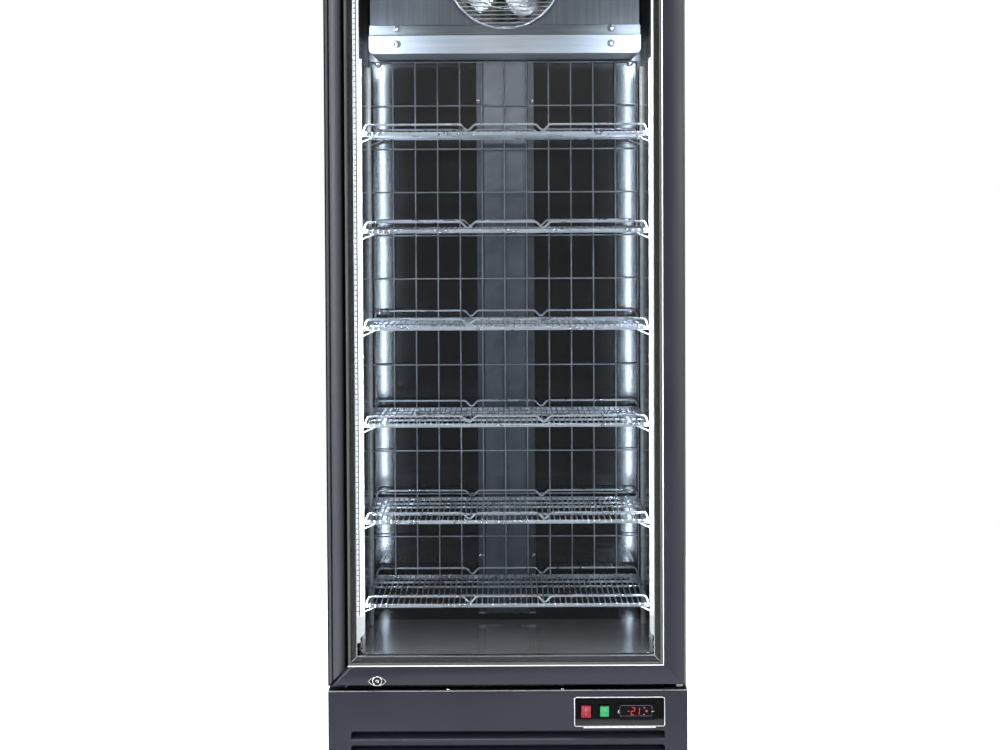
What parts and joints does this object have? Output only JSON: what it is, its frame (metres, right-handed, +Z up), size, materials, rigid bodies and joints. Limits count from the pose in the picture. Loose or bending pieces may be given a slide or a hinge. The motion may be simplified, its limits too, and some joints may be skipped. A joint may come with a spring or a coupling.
{
  "type": "display freezer",
  "caption": "Upright black display freezer with a full-height glass door, wire shelves, fan evaporator, louvred base with switches and a lit header.",
  "frame": {"origin": "on the floor, at the middle of the cabinet's footprint", "axes": "+Z up, +X to the hinge side (right, seen from the front), -Y towards the front"},
  "size_m": [0.688, 0.72, 2.03],
  "materials": {
    "black_steel": "satin powder coat",
    "charcoal_aluminium": "satin anodised look",
    "dark_plastic": "moulded, fine texture",
    "black_liner": "semi-gloss",
    "stainless_steel": "brushed",
    "galvanised_steel": "zinc coated sheet",
    "zinc_wire": "bright zinc plate",
    "chrome": "polished",
    "aluminium": "mill finish",
    "heat_exchanger": "fins on tubes",
    "compressor_paint": "gloss enamel",
    "foam": "rigid foam",
    "rubber": "matte",
    "glass": "clear tempered",
    "light_diffuser": "opal, lit from inside",
    "red_rocker": "glossy translucent",
    "green_rocker": "glossy translucent",
    "fan_plastic": "moulded"
  },
  "bodies": {
    "cabinet": {"side_panel_left": "black_steel", "side_panel_right": "black_steel", "back_panel": "galvanised_steel", "top_panel": "black_steel", "base_pan": "galvanised_steel", "foam_insulation": "foam", "inner_liner": "black_liner", "front_frame": "dark_plastic", "foot_front_left": "rubber", "foot_front_right": "rubber", "foot_rear_left": "rubber", "foot_rear_right": "rubber", "front_grille": "black_steel", "rear_grille": "galvanised_steel", "power_inlet": "dark_plastic", "condenser_coil": "heat_exchanger", "condenser_fan_motor": "dark_plastic", "compressor": "compressor_paint", "condensate_pan": "aluminium", "control_bezel": "chrome", "controller": "dark_plastic", "lower_hinge_bracket": "galvanised_steel", "upper_hinge_bracket": "galvanised_steel", "drip_tray": "stainless_steel", "evaporator_cover": "galvanised_steel", "evaporator_coil": "heat_exchanger", "evaporator_fan_motor": "dark_plastic", "fan_guard": "zinc_wire", "air_duct": "galvanised_steel", "back_grid": "zinc_wire", "pilaster_front_left": "galvanised_steel", "pilaster_front_right": "galvanised_steel", "pilaster_rear_left": "galvanised_steel", "pilaster_rear_right": "galvanised_steel", "led_strip_left": "light_diffuser", "led_strip_right": "light_diffuser", "canopy_housing": "black_steel", "sign_panel": "light_diffuser", "canopy_lamp": "light_diffuser"},
    "door": {"bottom_rail": "charcoal_aluminium", "top_rail": "charcoal_aluminium", "hinge_stile": "charcoal_aluminium", "handle_stile": "charcoal_aluminium", "door_grip": "charcoal_aluminium", "glass_outer": "glass", "glass_inner": "glass", "pane_spacer": "aluminium", "door_gasket": "rubber", "lock_escutcheon": "chrome"},
    "lock": {"lock_cylinder": "chrome"},
    "evaporator_fan": {"evaporator_fan": "fan_plastic"},
    "condenser_fan": {"condenser_fan": "fan_plastic"},
    "power_rocker": {"power_rocker": "red_rocker"},
    "light_rocker": {"light_rocker": "green_rocker"},
    "shelf_1": {"shelf_1": "zinc_wire"},
    "shelf_2": {"shelf_2": "zinc_wire"},
    "shelf_3": {"shelf_3": "zinc_wire"},
    "shelf_4": {"shelf_4": "zinc_wire"},
    "shelf_5": {"shelf_5": "zinc_wire"},
    "shelf_6": {"shelf_6": "zinc_wire"}
  },
  "joints": [
    {"name": "door_hinge", "type": "hinge", "parent": "cabinet", "child": "door", "pos_m": [0.3296, -0.334, 1], "axis": [0, 0, 1], "range_deg": [0, 110]},
    {"name": "lock_turn", "type": "hinge", "parent": "door", "child": "lock", "pos_m": [-0.2498, -0.357, 0.319], "axis": [0, 1, 0], "range_deg": [0, 90]},
    {"name": "evaporator_fan_spin", "type": "hinge", "parent": "cabinet", "child": "evaporator_fan", "pos_m": [0, -0.03, 1.691], "axis": [0, 1, 0], "continuous": true},
    {"name": "condenser_fan_spin", "type": "hinge", "parent": "cabinet", "child": "condenser_fan", "pos_m": [-0.05, -0.21, 0.18], "axis": [0, 1, 0], "continuous": true},
    {"name": "power_rocker_tilt", "type": "hinge", "parent": "cabinet", "child": "power_rocker", "pos_m": [0.15, -0.3495, 0.258], "axis": [1, 0, 0], "range_deg": [-16, 0]},
    {"name": "light_rocker_tilt", "type": "hinge", "parent": "cabinet", "child": "light_rocker", "pos_m": [0.1853, -0.3495, 0.258], "axis": [1, 0, 0], "range_deg": [-16, 0]},
    {"name": "shelf_1_lift", "type": "slide", "parent": "cabinet", "child": "shelf_1", "axis": [0, 0, 1], "range_m": [0, 0.012]},
    {"name": "shelf_2_lift", "type": "slide", "parent": "cabinet", "child": "shelf_2", "axis": [0, 0, 1], "range_m": [0, 0.012]},
    {"name": "shelf_3_lift", "type": "slide", "parent": "cabinet", "child": "shelf_3", "axis": [0, 0, 1], "range_m": [0, 0.012]},
    {"name": "shelf_4_lift", "type": "slide", "parent": "cabinet", "child": "shelf_4", "axis": [0, 0, 1], "range_m": [0, 0.012]},
    {"name": "shelf_5_lift", "type": "slide", "parent": "cabinet", "child": "shelf_5", "axis": [0, 0, 1], "range_m": [0, 0.012]},
    {"name": "shelf_6_lift", "type": "slide", "parent": "cabinet", "child": "shelf_6", "axis": [0, 0, 1], "range_m": [0, 0.012]}
  ]
}
